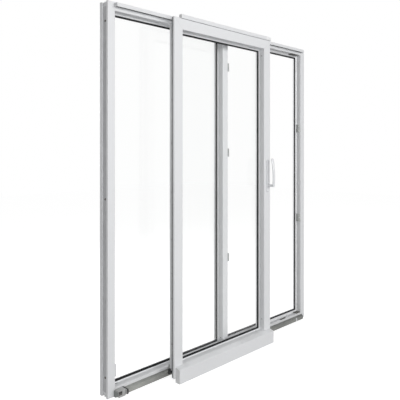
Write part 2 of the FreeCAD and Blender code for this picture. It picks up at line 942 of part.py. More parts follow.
def handle_lever():
    """The round neck and the bowed grip with two round ends, in one casting."""
    half = lever_width / 2
    thick = lever_thickness / 2
    low = V(handle_x, plate_front - lever_reach, handle_axis_height)
    high = V(handle_x, plate_front - lever_tip_reach, handle_axis_height + lever_length - half)
    chord = high - low
    bow_radius = (chord.Length ** 2 / 4 + lever_bow ** 2) / (2 * lever_bow)
    bow_angle = 2 * math.asin(chord.Length / 2 / bow_radius)
    inward = V(0, chord.z, -chord.y).normalize()
    centre = (low + high) / 2 + inward * (bow_radius - lever_bow)

    side_profile = [
        (half - lever_bevel, -thick, 0),
        (half, lever_bevel - thick, 0),
        (half, thick - lever_bevel, 0),
        (half - lever_bevel, thick, 0),
    ]
    section = side_profile + [(-u, v, radius) for u, v, radius in reversed(side_profile)]
    half_section = [(0, -thick, 0)] + side_profile + [(0, thick, 0)]
    start = placed(rounded_face(section), V(1, 0, 0), (low - centre).normalize(), low)
    grip = start.revolve(centre, V(-1, 0, 0), math.degrees(bow_angle))
    ends = []
    for place, side in ((low, V(-1, 0, 0)), (high, V(1, 0, 0))):
        outward = (place - centre).normalize()
        end = placed(rounded_face(half_section), side, outward, place)
        ends.append(end.revolve(place, outward, 180))
    neck = Part.makeCylinder(lever_neck_radius, lever_reach - lever_clearance, low,
                             V(0, 1, 0))
    return grip.fuse(ends + [neck]).removeSplitter()


def build():
    parts = {}

    members = frame_members()
    parts["frame_head"] = members["top"]
    parts["frame_sill"] = members["bottom"]
    parts["left_jamb"] = members["left"]
    parts["right_jamb"] = members["right"]
    parts["mullion"] = mullion()

    frame_lip_back = room_face + rebate_depth + lip_thickness
    pane, gasket, beads = glazing(light_left, mullion_left, light_bottom, light_top,
                                  frame_lip_back, frame_gasket_thickness,
                                  room_face + frame_depth)
    parts["fixed_glass"] = pane
    parts["fixed_glass_gasket"] = gasket
    parts["fixed_glass_beads"] = beads
    parts["doorway_stop"], parts["doorway_seal"] = doorway_stop()

    parts["guide_rail"], parts["guide_rail_caps"] = guide_rail()
    parts["running_rail"], parts["running_rail_caps"] = running_rail()
    parts["rail_end_stop"] = rail_end_stop()
    parts["rail_clip"] = rail_clip()
    parts["jamb_block"] = jamb_block()

    jamb_keeps = []
    for height in jamb_keep_places:
        jamb_keeps.append(upright_keep(door_right, -1, height, jamb_keep_height))
    parts["jamb_keeps"] = Part.makeCompound(jamb_keeps)
    mullion_keeps = []
    for height in mullion_keep_places:
        mullion_keeps.append(upright_keep(mullion_right, 1, height, mullion_keep_height))
    parts["mullion_keeps"] = Part.makeCompound(mullion_keeps)
    plate = keep_plate(head_keep_length, keep_depth, keep_mouth_depth)
    parts["head_keep"] = level_keep(plate, door_right - head_keep_edge_margin, light_top, -1)
    plate = keep_plate(sill_keep_length, sill_keep_depth, sill_keep_mouth_depth)
    parts["sill_keep"] = level_keep(plate, door_right - sill_keep_edge_margin, light_bottom, 1)
    plate = keep_plate(corner_keep_length, keep_depth, keep_mouth_depth)
    parts["corner_keep"] = level_keep(plate, door_right - corner_keep_length / 2, light_bottom, 1)

    sash = mitred_members(sash_outline(), sash_left, sash_right, sash_bottom, sash_top)
    parts["sash_top_rail"] = sash["top"]
    parts["sash_bottom_rail"] = sash["bottom"]
    parts["sash_left_stile"] = sash["left"]
    parts["sash_right_stile"] = sash["right"]
    pane, gasket, beads = glazing(sash_left + sash_face, sash_right - sash_face,
                                  sash_bottom + sash_face, sash_top - sash_face,
                                  sash_front + sash_reveal + sash_lip_thickness,
                                  sash_gasket_thickness, sash_back)
    parts["sash_glass"] = pane
    parts["sash_glass_gasket"] = gasket
    parts["sash_glass_beads"] = beads
    parts["sash_overlap_seal"] = overlap_seal()
    groove_bottom = overlap_lip + lock_strip_thickness
    parts["left_lock_strip"] = lock_strip(sash_left + groove_bottom, -1, mullion_keep_places)
    parts["right_lock_strip"] = lock_strip(sash_right - groove_bottom, 1, jamb_keep_places)
    parts["top_cover"], parts["top_cover_caps"] = top_cover()
    parts["bottom_cover"], parts["bottom_cover_caps"] = bottom_cover()

    left_carriage = sash_left + carriage_inset
    right_carriage = sash_right - carriage_inset - carriage_length
    parts["left_carriage"] = carriage(left_carriage)
    parts["right_carriage"] = carriage(right_carriage)
    parts["carriage_rollers"] = Part.makeCompound(rollers(left_carriage)
                                                  + rollers(right_carriage))
    parts["carriage_buffer"] = carriage_buffer(left_carriage)

    left_pivot = sash_left + stay_inset
    right_pivot = sash_right - stay_inset
    parts["left_stay_arm"] = stay_arm(left_pivot, left_pivot + stay_run)
    parts["right_stay_arm"] = stay_arm(right_pivot, right_pivot - stay_run)
    parts["guide_sliders"] = Part.makeCompound([
        guide_slider(left_pivot + stay_run),
        guide_slider(right_pivot - stay_run),
    ])

    parts["handle_backplate"] = handle_backplate()
    parts["handle_lever"] = handle_lever()
    return parts


os.makedirs("parts", exist_ok=True)
for name, shape in build().items():
    shape.exportStep(f"parts/{name}.step")
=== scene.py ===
import math

import bmesh
import bpy
from mathutils import Matrix, Vector


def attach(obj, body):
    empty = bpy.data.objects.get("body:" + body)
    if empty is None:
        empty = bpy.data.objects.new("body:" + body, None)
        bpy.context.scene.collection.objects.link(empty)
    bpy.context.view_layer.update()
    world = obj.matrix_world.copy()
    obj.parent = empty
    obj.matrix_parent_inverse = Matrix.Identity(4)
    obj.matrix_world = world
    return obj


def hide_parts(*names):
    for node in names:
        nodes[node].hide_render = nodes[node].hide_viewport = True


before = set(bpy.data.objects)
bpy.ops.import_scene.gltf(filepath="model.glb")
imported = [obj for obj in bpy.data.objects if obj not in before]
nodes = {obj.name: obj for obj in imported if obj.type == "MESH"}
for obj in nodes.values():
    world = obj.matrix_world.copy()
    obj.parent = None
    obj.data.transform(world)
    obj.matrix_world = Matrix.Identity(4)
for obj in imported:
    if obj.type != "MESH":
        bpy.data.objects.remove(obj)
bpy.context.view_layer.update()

# A parallel sliding patio door in white plastic, seen from the room. All lengths are metres.
# The door's room side looks along -Y, and its height is along Z. The construction comes from
# the frame; this script gives it finishes, adds the fine pieces, and sets up floor, camera
# and light.


# Shader building blocks

def new_material(name):
    """An empty node material, its node tree and the socket for its surface."""
    material = bpy.data.materials.new(name)
    material.use_nodes = True
    tree = material.node_tree
    tree.nodes.clear()
    surface = tree.nodes.new("ShaderNodeOutputMaterial").inputs["Surface"]
    return material, tree, surface


def principled_material(name):
    """A node material, its node tree and its Principled shader."""
    material, tree, surface = new_material(name)
    shader = tree.nodes.new("ShaderNodeBsdfPrincipled")
    tree.links.new(shader.outputs["BSDF"], surface)
    return material, tree, shader


def scaled(colour, factor):
    """A colour made darker or lighter by a factor."""
    return tuple(channel * factor for channel in colour)


def object_place(tree):
    """Object coordinates, which stay on the piece when it moves."""
    return tree.nodes.new("ShaderNodeTexCoord").outputs["Object"]


def object_axes(tree):
    """The separate X, Y and Z of the object coordinates."""
    axes = tree.nodes.new("ShaderNodeSeparateXYZ")
    tree.links.new(object_place(tree), axes.inputs["Vector"])
    return axes.outputs


def noise(tree, scale, detail=2.0, roughness=0.5, stretch=(1, 1, 1)):
    """Noise from 0 to 1; an uneven stretch of the axes draws it out into lines."""
    mapping = tree.nodes.new("ShaderNodeMapping")
    mapping.inputs["Scale"].default_value = stretch
    tree.links.new(object_place(tree), mapping.inputs["Vector"])
    texture = tree.nodes.new("ShaderNodeTexNoise")
    texture.inputs["Scale"].default_value = scale
    texture.inputs["Detail"].default_value = detail
    texture.inputs["Roughness"].default_value = roughness
    tree.links.new(mapping.outputs["Vector"], texture.inputs["Vector"])
    return texture.outputs["Fac"]


def ramp(tree, value, stops):
    """A colour ramp with (position, colour) stops."""
    node = tree.nodes.new("ShaderNodeValToRGB")
    bands = node.color_ramp.elements
    bands[0].position, bands[0].color = stops[0][0], (*stops[0][1], 1)
    bands[1].position, bands[1].color = stops[-1][0], (*stops[-1][1], 1)
    for position, colour in stops[1:-1]:
        bands.new(position).color = (*colour, 1)
    tree.links.new(value, node.inputs["Fac"])
    return node.outputs["Color"]


def number(tree, operation, first, second):
    """One step of arithmetic on a value; the second may be a value or a constant."""
    node = tree.nodes.new("ShaderNodeMath")
    node.operation = operation
    tree.links.new(first, node.inputs[0])
    if isinstance(second, float):
        node.inputs[1].default_value = second
    else:
        tree.links.new(second, node.inputs[1])
    return node.outputs["Value"]


def spread(tree, value, low, high):
    """A 0 to 1 value moved into a range."""
    node = tree.nodes.new("ShaderNodeMapRange")
    node.inputs["To Min"].default_value = low
    node.inputs["To Max"].default_value = high
    tree.links.new(value, node.inputs["Value"])
    return node.outputs["Result"]


def bump(tree, shader, height, distance, strength):
    """Raises the surface a little where a value is high."""
    node = tree.nodes.new("ShaderNodeBump")
    node.inputs["Distance"].default_value = distance
    node.inputs["Strength"].default_value = strength
    tree.links.new(height, node.inputs["Height"])
    tree.links.new(node.outputs["Normal"], shader.inputs["Normal"])


# Finishes

# Scales of the noise along X, Y and Z that draw it out into lines
DRAWN_ALONG = {"X": (0.6, 260, 260), "Z": (260, 260, 0.6)}
DIE_LINES = (1, 900, 900)

SEAM_HALF_WIDTH = 0.0006

# Where the painted shade on the running rail begins along X, and where it is full
LEAF_SHADE_START, LEAF_SHADE_FULL = -0.76, -0.56


def weld_seam(tree, middle_x, middle_z, difference):
    """1 on the welded mitres of a rectangle of members, 0 elsewhere.

    A mitre is where the distances from the rectangle's middle along X and Z differ by the
    difference of its half width and half height.
    """
    axes = object_axes(tree)
    away = []
    for axis, middle in (("X", middle_x), ("Z", middle_z)):
        offset = number(tree, "SUBTRACT", axes[axis], middle)
        away.append(number(tree, "ABSOLUTE", offset, 0.0))
    apart = number(tree, "SUBTRACT", away[0], away[1])
    gap = number(tree, "ABSOLUTE", number(tree, "SUBTRACT", apart, difference), 0.0)
    return number(tree, "LESS_THAN", gap, SEAM_HALF_WIDTH)


def extruded_plastic(name, colour, along, gloss=0.34, weld=None):
    """Smooth extruded plastic: faint draw lines, a little unevenness and welded mitres, the
    mitres darkened with painted shade.
    """
    material, tree, shader = principled_material(name)
    lines = noise(tree, 1.0, stretch=DRAWN_ALONG[along])
    shade = ramp(tree, noise(tree, 2.2, 3.0), [(0.3, scaled(colour, 0.975)), (0.7, colour)])
    height = lines
    if weld:
        seam = weld_seam(tree, *weld)
        # Painted shade: the seam's darker tint stands for the shade in its groove; its bump is
        # real.
        painted_seam_shade = tree.nodes.new("ShaderNodeMix")
        painted_seam_shade.data_type = "RGBA"
        tree.links.new(seam, painted_seam_shade.inputs["Factor"])
        tree.links.new(shade, painted_seam_shade.inputs["A"])
        painted_seam_shade.inputs["B"].default_value = (*scaled(colour, 0.72), 1)
        shade = painted_seam_shade.outputs["Result"]
        height = number(tree, "SUBTRACT", lines, seam)
    tree.links.new(shade, shader.inputs["Base Color"])
    tree.links.new(spread(tree, lines, gloss - 0.05, gloss + 0.07), shader.inputs["Roughness"])
    shader.inputs["Specular IOR Level"].default_value = 0.45
    bump(tree, shader, height, 0.00005, 0.35)
    return material


def moulded_plastic(name, colour, roughness):
    """Injection-moulded plastic with a fine spark-eroded grain."""
    material, tree, shader = principled_material(name)
    grain = noise(tree, 1400.0)
    shade = ramp(tree, noise(tree, 18.0, 3.0), [(0.3, scaled(colour, 0.88)), (0.7, colour)])
    tree.links.new(shade, shader.inputs["Base Color"])
    tree.links.new(spread(tree, grain, roughness - 0.08, roughness + 0.08),
                   shader.inputs["Roughness"])
    bump(tree, shader, grain, 0.00008, 0.5)
    return material


def seal_rubber(name):
    """Black extruded seal rubber, slightly dusty."""
    material, tree, shader = principled_material(name)
    dust = noise(tree, 40.0, 4.0)
    shade = ramp(tree, dust, [(0.35, (0.012, 0.012, 0.013)), (0.8, (0.03, 0.03, 0.032))])
    tree.links.new(shade, shader.inputs["Base Color"])
    tree.links.new(spread(tree, dust, 0.5, 0.68), shader.inputs["Roughness"])
    shader.inputs["Specular IOR Level"].default_value = 0.15
    bump(tree, shader, noise(tree, 900.0), 0.0001, 0.4)
    return material


def painted_leaf_shade(tree):
    """0 by the end stop, rising to 1 toward the leaf, where painted shade darkens the rail."""
    rise = tree.nodes.new("ShaderNodeMapRange")
    tree.links.new(object_axes(tree)["X"], rise.inputs["Value"])
    rise.inputs["From Min"].default_value = LEAF_SHADE_START
    rise.inputs["From Max"].default_value = LEAF_SHADE_FULL
    return rise.outputs["Result"]


def anodised(name, colour):
    """Satin anodised aluminium with lines from the extrusion die, and painted shade that
    darkens it toward the leaf.
    """
    material, tree, shader = principled_material(name)
    lines = noise(tree, 1.0, 3.0, stretch=DIE_LINES)
    cloud = noise(tree, 9.0, 4.0)
    # Painted shade: the rail's colour darkens toward the leaf, where shade falls, on top of a
    # random cloud.
    cloud_and_painted_shade = number(tree, "SUBTRACT", cloud, spread(tree, painted_leaf_shade(tree), 0.0, 0.41))
    shade = ramp(tree, cloud_and_painted_shade, [(0.0, scaled(colour, 0.6)), (0.5, scaled(colour, 1.1)),
                                (0.8, scaled(colour, 1.25))])
    tree.links.new(shade, shader.inputs["Base Color"])
    shader.inputs["Metallic"].default_value = 0.3
    tree.links.new(spread(tree, lines, 0.36, 0.56), shader.inputs["Roughness"])
    bump(tree, shader, lines, 0.00006, 0.5)
    return material


def zinc_plate(name, dark, middle, light):
    """Zinc-plated pressed steel with cloudy passivation."""
    material, tree, shader = principled_material(name)
    cloud = noise(tree, 60.0, 5.0, 0.6)
    shade = ramp(tree, cloud, [(0.25, dark), (0.55, middle), (0.85, light)])
    tree.links.new(shade, shader.inputs["Base Color"])
    shader.inputs["Metallic"].default_value = 0.6
    tree.links.new(spread(tree, cloud, 0.32, 0.52), shader.inputs["Roughness"])
    bump(tree, shader, cloud, 0.00008, 0.35)
    return material


def lacquer(name, colour):
    """White lacquer on a casting, with a faint orange-peel skin."""
    material, tree, shader = principled_material(name)
    peel = noise(tree, 320.0)
    shade = ramp(tree, noise(tree, 12.0), [(0.3, scaled(colour, 0.97)), (0.7, colour)])
    tree.links.new(shade, shader.inputs["Base Color"])
    tree.links.new(spread(tree, peel, 0.2, 0.3), shader.inputs["Roughness"])
    shader.inputs["Coat Weight"].default_value = 0.25
    shader.inputs["Coat Roughness"].default_value = 0.1
    bump(tree, shader, peel, 0.00012, 0.3)
    return material


def clear_glass(name):
    """A clear pane: it lets light straight through and mirrors a little at its skin."""
    material, tree, surface = new_material(name)
    through = tree.nodes.new("ShaderNodeBsdfTransparent")
    mirror = tree.nodes.new("ShaderNodeBsdfGlossy")
    through.inputs["Color"].default_value = (0.998, 1, 0.999, 1)
    smear = noise(tree, 3.0, 3.0)
    tree.links.new(spread(tree, smear, 0.0, 0.03), mirror.inputs["Roughness"])
    edge = tree.nodes.new("ShaderNodeLayerWeight")
    edge.inputs["Blend"].default_value = 0.05
    mix = tree.nodes.new("ShaderNodeMixShader")
    tree.links.new(edge.outputs["Facing"], mix.inputs["Fac"])
    tree.links.new(through.outputs["BSDF"], mix.inputs[1])
    tree.links.new(mirror.outputs["BSDF"], mix.inputs[2])
    tree.links.new(mix.outputs["Shader"], surface)
    return material


WHITE = (0.81, 0.818, 0.832)

# The middle along X and Z, and half the width less half the height, of frame and leaf
FRAME_WELD = (0.0, 1.05, -0.128)
LEAF_WELD = (-0.1075, 1.04375, -0.57825)

frame_along_x = extruded_plastic("frame_plastic_level", WHITE, "X", weld=FRAME_WELD)
frame_along_z = extruded_plastic("frame_plastic_upright", WHITE, "Z", weld=FRAME_WELD)
leaf_along_x = extruded_plastic("leaf_plastic_level", WHITE, "X", weld=LEAF_WELD)
leaf_along_z = extruded_plastic("leaf_plastic_upright", WHITE, "Z", weld=LEAF_WELD)
white_along_z = extruded_plastic("bead_plastic", WHITE, "Z")
white_moulded = moulded_plastic("white_moulded", (0.76, 0.77, 0.785), 0.45)
# Painted light: the caps are whiter than the profiles so that their end faces look lit where
# the lamps leave them in shade.
caps_painted_light = moulded_plastic("cap_plastic_painted_light", (0.92, 0.925, 0.93), 0.4)
grey_moulded = moulded_plastic("grey_moulded", (0.28, 0.30, 0.29), 0.5)
light_grey_moulded = moulded_plastic("light_grey_moulded", (0.46, 0.465, 0.46), 0.5)
brown_moulded = moulded_plastic("brown_moulded", (0.15, 0.148, 0.136), 0.5)
black_moulded = moulded_plastic("black_moulded", (0.02, 0.02, 0.022), 0.5)
rubber = seal_rubber("seal_rubber")
# Mid grey for the strip under the top cover, which paints the cover's shadow.
joint_shadow_grey = moulded_plastic("joint_shadow_grey_plastic", (0.34, 0.345, 0.36), 0.6)
rail_metal = anodised("rail_aluminium", (0.30, 0.306, 0.287))
white_metal = extruded_plastic("white_coated_aluminium", WHITE, "X", 0.3)
zinc = zinc_plate("zinc_steel", (0.30, 0.31, 0.31), (0.42, 0.43, 0.42), (0.53, 0.53, 0.50))
# Dark plated steel; on the head keep its darkness also paints the shade under the head.
dark_steel_and_painted_shade = zinc_plate("dark_steel_with_painted_shade", (0.06, 0.058, 0.055), (0.11, 0.105, 0.10),
                       (0.20, 0.19, 0.17))
burnished = zinc_plate("burnished_screw", (0.05, 0.045, 0.04), (0.09, 0.08, 0.07),
                       (0.16, 0.15, 0.13))
# The tape's grey is partly its own colour and partly painted shade for the jambs' outer
# recess.
tape_foam_and_painted_shade = moulded_plastic("edge_tape_foam_and_painted_shade", (0.65, 0.657, 0.67), 0.6)
white_lacquer = lacquer("white_lacquer", (0.82, 0.83, 0.85))
pane = clear_glass("clear_glass")

FINISHES = {
    "frame_head": frame_along_x,
    "frame_sill": frame_along_x,
    "left_jamb": frame_along_z,
    "right_jamb": frame_along_z,
    "mullion": white_along_z,
    "fixed_glass": pane,
    "fixed_glass_gasket": rubber,
    "fixed_glass_beads": white_along_z,
    "doorway_stop": white_along_z,
    "doorway_seal": rubber,
    "guide_rail": white_metal,
    "guide_rail_caps": white_moulded,
    "running_rail": rail_metal,
    "running_rail_caps": grey_moulded,
    "rail_end_stop": light_grey_moulded,
    "rail_clip": white_moulded,
    "jamb_block": white_moulded,
    "jamb_keeps": zinc,
    "mullion_keeps": zinc,
    # The head keep's dark steel paints the shade it hangs in under the head.
    "head_keep": dark_steel_and_painted_shade,
    "sill_keep": dark_steel_and_painted_shade,
    "corner_keep": brown_moulded,
    "sash_top_rail": leaf_along_x,
    "sash_bottom_rail": leaf_along_x,
    "sash_left_stile": leaf_along_z,
    "sash_right_stile": leaf_along_z,
    "sash_glass": pane,
    "sash_glass_gasket": rubber,
    "sash_glass_beads": white_along_z,
    "sash_overlap_seal": rubber,
    "left_lock_strip": zinc,
    "right_lock_strip": zinc,
    "top_cover": white_metal,
    "top_cover_caps": caps_painted_light,
    "bottom_cover": white_metal,
    "bottom_cover_caps": caps_painted_light,
    "left_carriage": zinc,
    "right_carriage": zinc,
    "carriage_rollers": grey_moulded,
    "carriage_buffer": black_moulded,
    "left_stay_arm": zinc,
    "right_stay_arm": zinc,
    "guide_sliders": black_moulded,
    "handle_backplate": white_lacquer,
    "handle_lever": white_lacquer,
}


def finish_node(name, material):
    """Gives a carried-over solid its finish in every slot."""
    solid = nodes[name]
    if not solid.material_slots:
        solid.data.materials.append(material)
    for material_slot in solid.material_slots:
        material_slot.material = material


for name, material in FINISHES.items():
    finish_node(name, material)


# Mesh building blocks

def finished_mesh(shape, name):
    """Turns a shape into a mesh and frees it."""
    mesh = bpy.data.meshes.new(name)
    shape.to_mesh(mesh)
    shape.free()
    return mesh


def make_piece(shape, name, body, slot, material, *replaced):
    """Turns a finished shape into a piece that rides on a body and may replace solids."""
    mesh = finished_mesh(shape, name)
    mesh.materials.append(material)
    piece = bpy.data.objects.new(name, mesh)
    bpy.context.scene.collection.objects.link(piece)
    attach(piece, body)
    if replaced:
        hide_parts(*replaced)


def soften(shape, edges, rounding, segments):
    """Rounds some edges of a shape."""
    bmesh.ops.bevel(shape, geom=list(edges), offset=rounding, offset_type="OFFSET",
                    affect="EDGES", segments=segments, profile=0.5, material=-1)


def close_loop(shape, corners):
    """The edges of a closed outline through some corners."""
    return [shape.edges.new((corners[i - 1], corners[i])) for i in range(len(corners))]


def facing(place, toward):
    """The matrix that moves to a place and turns +Z to a direction."""
    turn = Vector(toward).to_track_quat("Z", "Y").to_matrix().to_4x4()
    return Matrix.Translation(place) @ turn


def add_block(shape, low, high, rounding, segments):
    """A block between two corners with rounded edges."""
    low = Vector(low)
    high = Vector(high)
    place = Matrix.Translation((low + high) / 2) @ Matrix.Diagonal((*(high - low), 1))
    made = bmesh.ops.create_cube(shape, size=1.0, matrix=place)
    edges = {edge for vertex in made["verts"] for edge in vertex.link_edges}
    soften(shape, edges, rounding, segments)


def make_blocks(name, body, slot, material, blocks):
    """A piece of blocks, each (low corner, high corner, rounding, segments)."""
    shape = bmesh.new()
    for block in blocks:
        add_block(shape, *block)
    make_piece(shape, name, body, slot, material)


def make_ring(name, body, slot, material, opening, profile, *replaced):
    """A piece that runs round an opening with one profile, mitred at the corners.

    The profile's corners are (inward from the opening's edge, depth).
    """
    left, right, bottom, top = opening
    shape = bmesh.new()
    loops = []
    for x, z, inward_x, inward_z in ((left, bottom, 1, 1), (right, bottom, -1, 1),
                                     (right, top, -1, -1), (left, top, 1, -1)):
        corners = [shape.verts.new((x + inward_x * inward, depth, z + inward_z * inward))
                   for inward, depth in profile]
        loops.append(close_loop(shape, corners))
    for i in range(4):
        bmesh.ops.bridge_loops(shape, edges=loops[i - 1] + loops[i])
    bmesh.ops.recalc_face_normals(shape, faces=shape.faces)
    make_piece(shape, name, body, slot, material, *replaced)


def add_bar(shape, profile, x0, x1, rounding):
    """A straight length along X of a closed (depth, height) profile, with softened edges."""
    corners = [shape.verts.new((x0, depth, height)) for depth, height in profile]
    end = shape.faces.new(corners)
    made = bmesh.ops.extrude_face_region(shape, geom=[end])
    moved = [part for part in made["geom"] if isinstance(part, bmesh.types.BMVert)]
    bmesh.ops.translate(shape, vec=(x1 - x0, 0, 0), verts=moved)
    edges = {edge for vertex in corners + moved for edge in vertex.link_edges}
    soften(shape, edges, rounding, 2)
    bmesh.ops.recalc_face_normals(shape, faces=shape.faces)


def add_turned_cap(shape, place, toward):
    """A low domed cap of 15 mm."""
    rise = facing(place, toward) @ Matrix.Translation((0, 0, 0.0007))
    made = bmesh.ops.create_cone(shape, cap_ends=True, segments=32, radius1=0.0078,
                                 radius2=0.0066, depth=0.0014, matrix=rise)
    edges = {edge for vertex in made["verts"] for edge in vertex.link_edges
             if len(edge.link_faces) == 2 and edge.calc_face_angle() > 0.5}
    soften(shape, edges, 0.0005, 3)


# A screw head of radius 1: its height, a radius just past its flat, half its cross's width
HEAD_HEIGHT = 0.34
HEAD_FLAT = 0.62
HALF_CROSS = 0.13


def is_crown(face):
    """Whether a face lies in the flat middle of a screw head."""
    return all(corner.co.z > HEAD_HEIGHT - 0.001 and corner.co.xy.length < HEAD_FLAT
               for corner in face.verts)


def highest_face(shape):
    """The face whose middle is highest."""
    return max(shape.faces, key=lambda face: face.calc_center_median().z)


def screw_head():
    """A low round head of radius 1 along +Z with a cross recess, as a mesh."""
    shape = bmesh.new()
    bmesh.ops.create_cone(shape, cap_ends=True, segments=28, radius1=1.0, radius2=0.86,
                          depth=HEAD_HEIGHT,
                          matrix=Matrix.Translation((0, 0, HEAD_HEIGHT / 2)))
    soften(shape, highest_face(shape).edges, 0.12, 2)
    bmesh.ops.inset_individual(shape, faces=[highest_face(shape)], thickness=0.16, depth=0)
    for across in (Vector((1, 0, 0)), Vector((0, 1, 0))):
        for side in (-HALF_CROSS, HALF_CROSS):
            inner = [face for face in shape.faces if is_crown(face)]
            around = {part for face in inner for part in (*face.verts, *face.edges, face)}
            bmesh.ops.bisect_plane(shape, geom=list(around), plane_co=across * side,
                                   plane_no=across)
    recess = []
    for face in shape.faces:
        middle = face.calc_center_median()
        if is_crown(face) and min(abs(middle.x), abs(middle.y)) < HALF_CROSS:
            recess.append(face)
    bmesh.ops.inset_region(shape, faces=recess, thickness=0.04, depth=-0.2,
                           use_boundary=True, use_even_offset=True)
    return finished_mesh(shape, "screw_head")


SCREW_HEAD = screw_head()


def make_screws(name, body, slot, material, places):
    """A piece of screw heads at (place, direction, radius)."""
    shape = bmesh.new()
    for place, toward, radius in places:
        count = len(shape.verts)
        shape.from_mesh(SCREW_HEAD)
        shape.verts.ensure_lookup_table()
        matrix = facing(place, toward) @ Matrix.Scale(radius, 4)
        bmesh.ops.transform(shape, matrix=matrix, verts=shape.verts[count:])
    make_piece(shape, name, body, slot, material)


# Places on the door, in metres

REBATE_FACE = 0.875
MULLION_FACE = 0.024
SILL_TOP = 0.047
HEAD_UNDERSIDE = 2.053
KEEP_THICKNESS = 0.005
KEEP_MIDDLE = -0.01725
KEEP_SCREW = 0.0038
JAMB_KEEPS = (0.786, 1.483)
MULLION_KEEPS = (0.606, 1.296, 1.858)
FIXING_DEPTH = -0.005
FIXING_HEIGHTS = (0.103, 1.05, 1.997)
TAPE_FACE = 0.9157
LEAF_LEFT_EDGE = -0.526
LEAF_RIGHT_EDGE = 0.311
STRIP_MIDDLE = -0.1035
REVEAL_SCREW = 0.003
FLAP_DROP = 0.0022
LEVER_NECK = (0.3035, -0.1574, 1.071)
LEFT, RIGHT, UP, DOWN, ROOMWARD = (-1, 0, 0), (1, 0, 0), (0, 0, 1), (0, 0, -1), (0, -1, 0)

# Openings as (left, right, bottom, top)
FIXED_LIGHT = (-REBATE_FACE, -MULLION_FACE, SILL_TOP, HEAD_UNDERSIDE)
DOORWAY = (MULLION_FACE, REBATE_FACE, SILL_TOP, HEAD_UNDERSIDE)
LEAF_LIGHT = (-0.486, 0.271, 0.087, 2.0005)


def make_keep_screws():
    """Two screws in each keep plate."""
    upright = []
    for heights, apart, x, toward in (
            (JAMB_KEEPS, 0.021, REBATE_FACE - KEEP_THICKNESS, LEFT),
            (MULLION_KEEPS, 0.019, MULLION_FACE + KEEP_THICKNESS, RIGHT)):
        for height in heights:
            for step in (-apart, apart):
                upright.append(((x, KEEP_MIDDLE, height + step), toward, KEEP_SCREW))
    make_screws("keep_screws", "frame", "zinc_steel", zinc, upright)
    level = []
    for middle, apart, depth, height, toward, radius in (
            (0.806, 0.033, KEEP_MIDDLE, HEAD_UNDERSIDE - KEEP_THICKNESS, DOWN, KEEP_SCREW),
            (0.6495, 0.022, -0.028, SILL_TOP + KEEP_THICKNESS, UP, 0.0032),
            (0.849, 0.017, KEEP_MIDDLE, SILL_TOP + KEEP_THICKNESS, UP, KEEP_SCREW)):
        for step in (-apart, apart):
            level.append(((middle + step, depth, height), toward, radius))
    make_screws("level_keep_screws", "frame", "zinc_steel", burnished, level)


def make_keep_noses():
    """The noses of the mullion's keeps, which lead the cams in and pass its edge."""
    noses = [((MULLION_FACE + 0.0006, -0.042, height - 0.0265),
              (MULLION_FACE + 0.007, -0.0335, height + 0.0265), 0.0012, 2)
             for height in MULLION_KEEPS]
    make_blocks("mullion_keep_noses", "frame", "zinc_steel", zinc, noses)


def make_strip_screws():
    """Screws that hold the lock strips in the leaf's edges."""
    left = [((LEAF_LEFT_EDGE, STRIP_MIDDLE + 0.004, height), LEFT, 0.0042)
            for height in (0.2, 0.46, 0.8, 1.07, 1.35, 1.6, 1.915)]
    right = [((LEAF_RIGHT_EDGE, STRIP_MIDDLE, height), RIGHT, 0.0042)
             for height in (0.2, 0.46, 0.65, 0.95, 1.3, 1.65, 1.915)]
    make_screws("lock_strip_screws", "sash", "zinc_steel", burnished, left + right)


def make_reveal_screws():
    """The small screws in the reveals of the leaf and the mullion."""
    right, bottom = LEAF_LIGHT[1:3]
    leaf = [((right, -0.1253, height), LEFT, REVEAL_SCREW) for height in (0.161, 1.955)]
    leaf.append(((0.225, -0.1105, bottom), UP, REVEAL_SCREW))
    make_screws("leaf_reveal_screws", "sash", "zinc_steel", burnished, leaf)
    mullion = [((-MULLION_FACE, -0.016, height), LEFT, REVEAL_SCREW)
               for height in (0.082, 2.018)]
    make_screws("mullion_reveal_screws", "frame", "zinc_steel", burnished, mullion)


def make_drain_slot_shade():
    """Black blocks in the sill before the fixed light, whose black paints the shade inside its
    drain slots.
    """
    slots = [((middle - 0.012, -0.001, SILL_TOP - 0.002),
              (middle + 0.012, 0.0035, SILL_TOP + 0.0004), 0.0011, 2)
             for middle in (-0.844, -0.055)]
    make_blocks("drain_slot_painted_shade", "frame", "black_plastic", black_moulded, slots)


def make_fixing_caps():
    """White caps over the frame screws in both jambs."""
    shape = bmesh.new()
    for height in FIXING_HEIGHTS:
        for side, toward in ((-1, RIGHT), (1, LEFT)):
            add_turned_cap(shape, (side * REBATE_FACE, FIXING_DEPTH, height), toward)
    make_piece(shape, "fixing_caps", "frame", "white_plastic", white_moulded)


def make_stop_parts():
    """The end stop's ribbed rubber nose, its foot, its two screws and their clamp."""
    nose = [((-0.8355, -0.0911, 0.0166), (-0.8268, -0.0446, 0.0428), 0.0014, 3)]
    for height in (0.0225, 0.0285, 0.0345):
        nose.append(((-0.8345, -0.0916, height - 0.001), (-0.8264, -0.0449, height + 0.001),
                     0.0009, 2))
    make_blocks("stop_rubber_nose", "frame", "black_rubber", rubber, nose)
    foot = [((-0.862, -0.0805, 0.0085), (-0.846, -0.0765, 0.0125), 0.001, 2)]
    make_blocks("stop_foot", "frame", "black_plastic", black_moulded, foot)
    screws = [((x, -0.0835, 0.0345), ROOMWARD, 0.0046) for x in (-0.8773, -0.8667)]
    make_screws("stop_screws", "frame", "black_plastic", black_moulded, screws)
    clamp = [((-0.8824, -0.0836, 0.0205), (-0.8615, -0.0806, 0.041), 0.0012, 3)]
    make_blocks("stop_clamp", "frame", "zinc_steel", dark_steel_and_painted_shade, clamp)


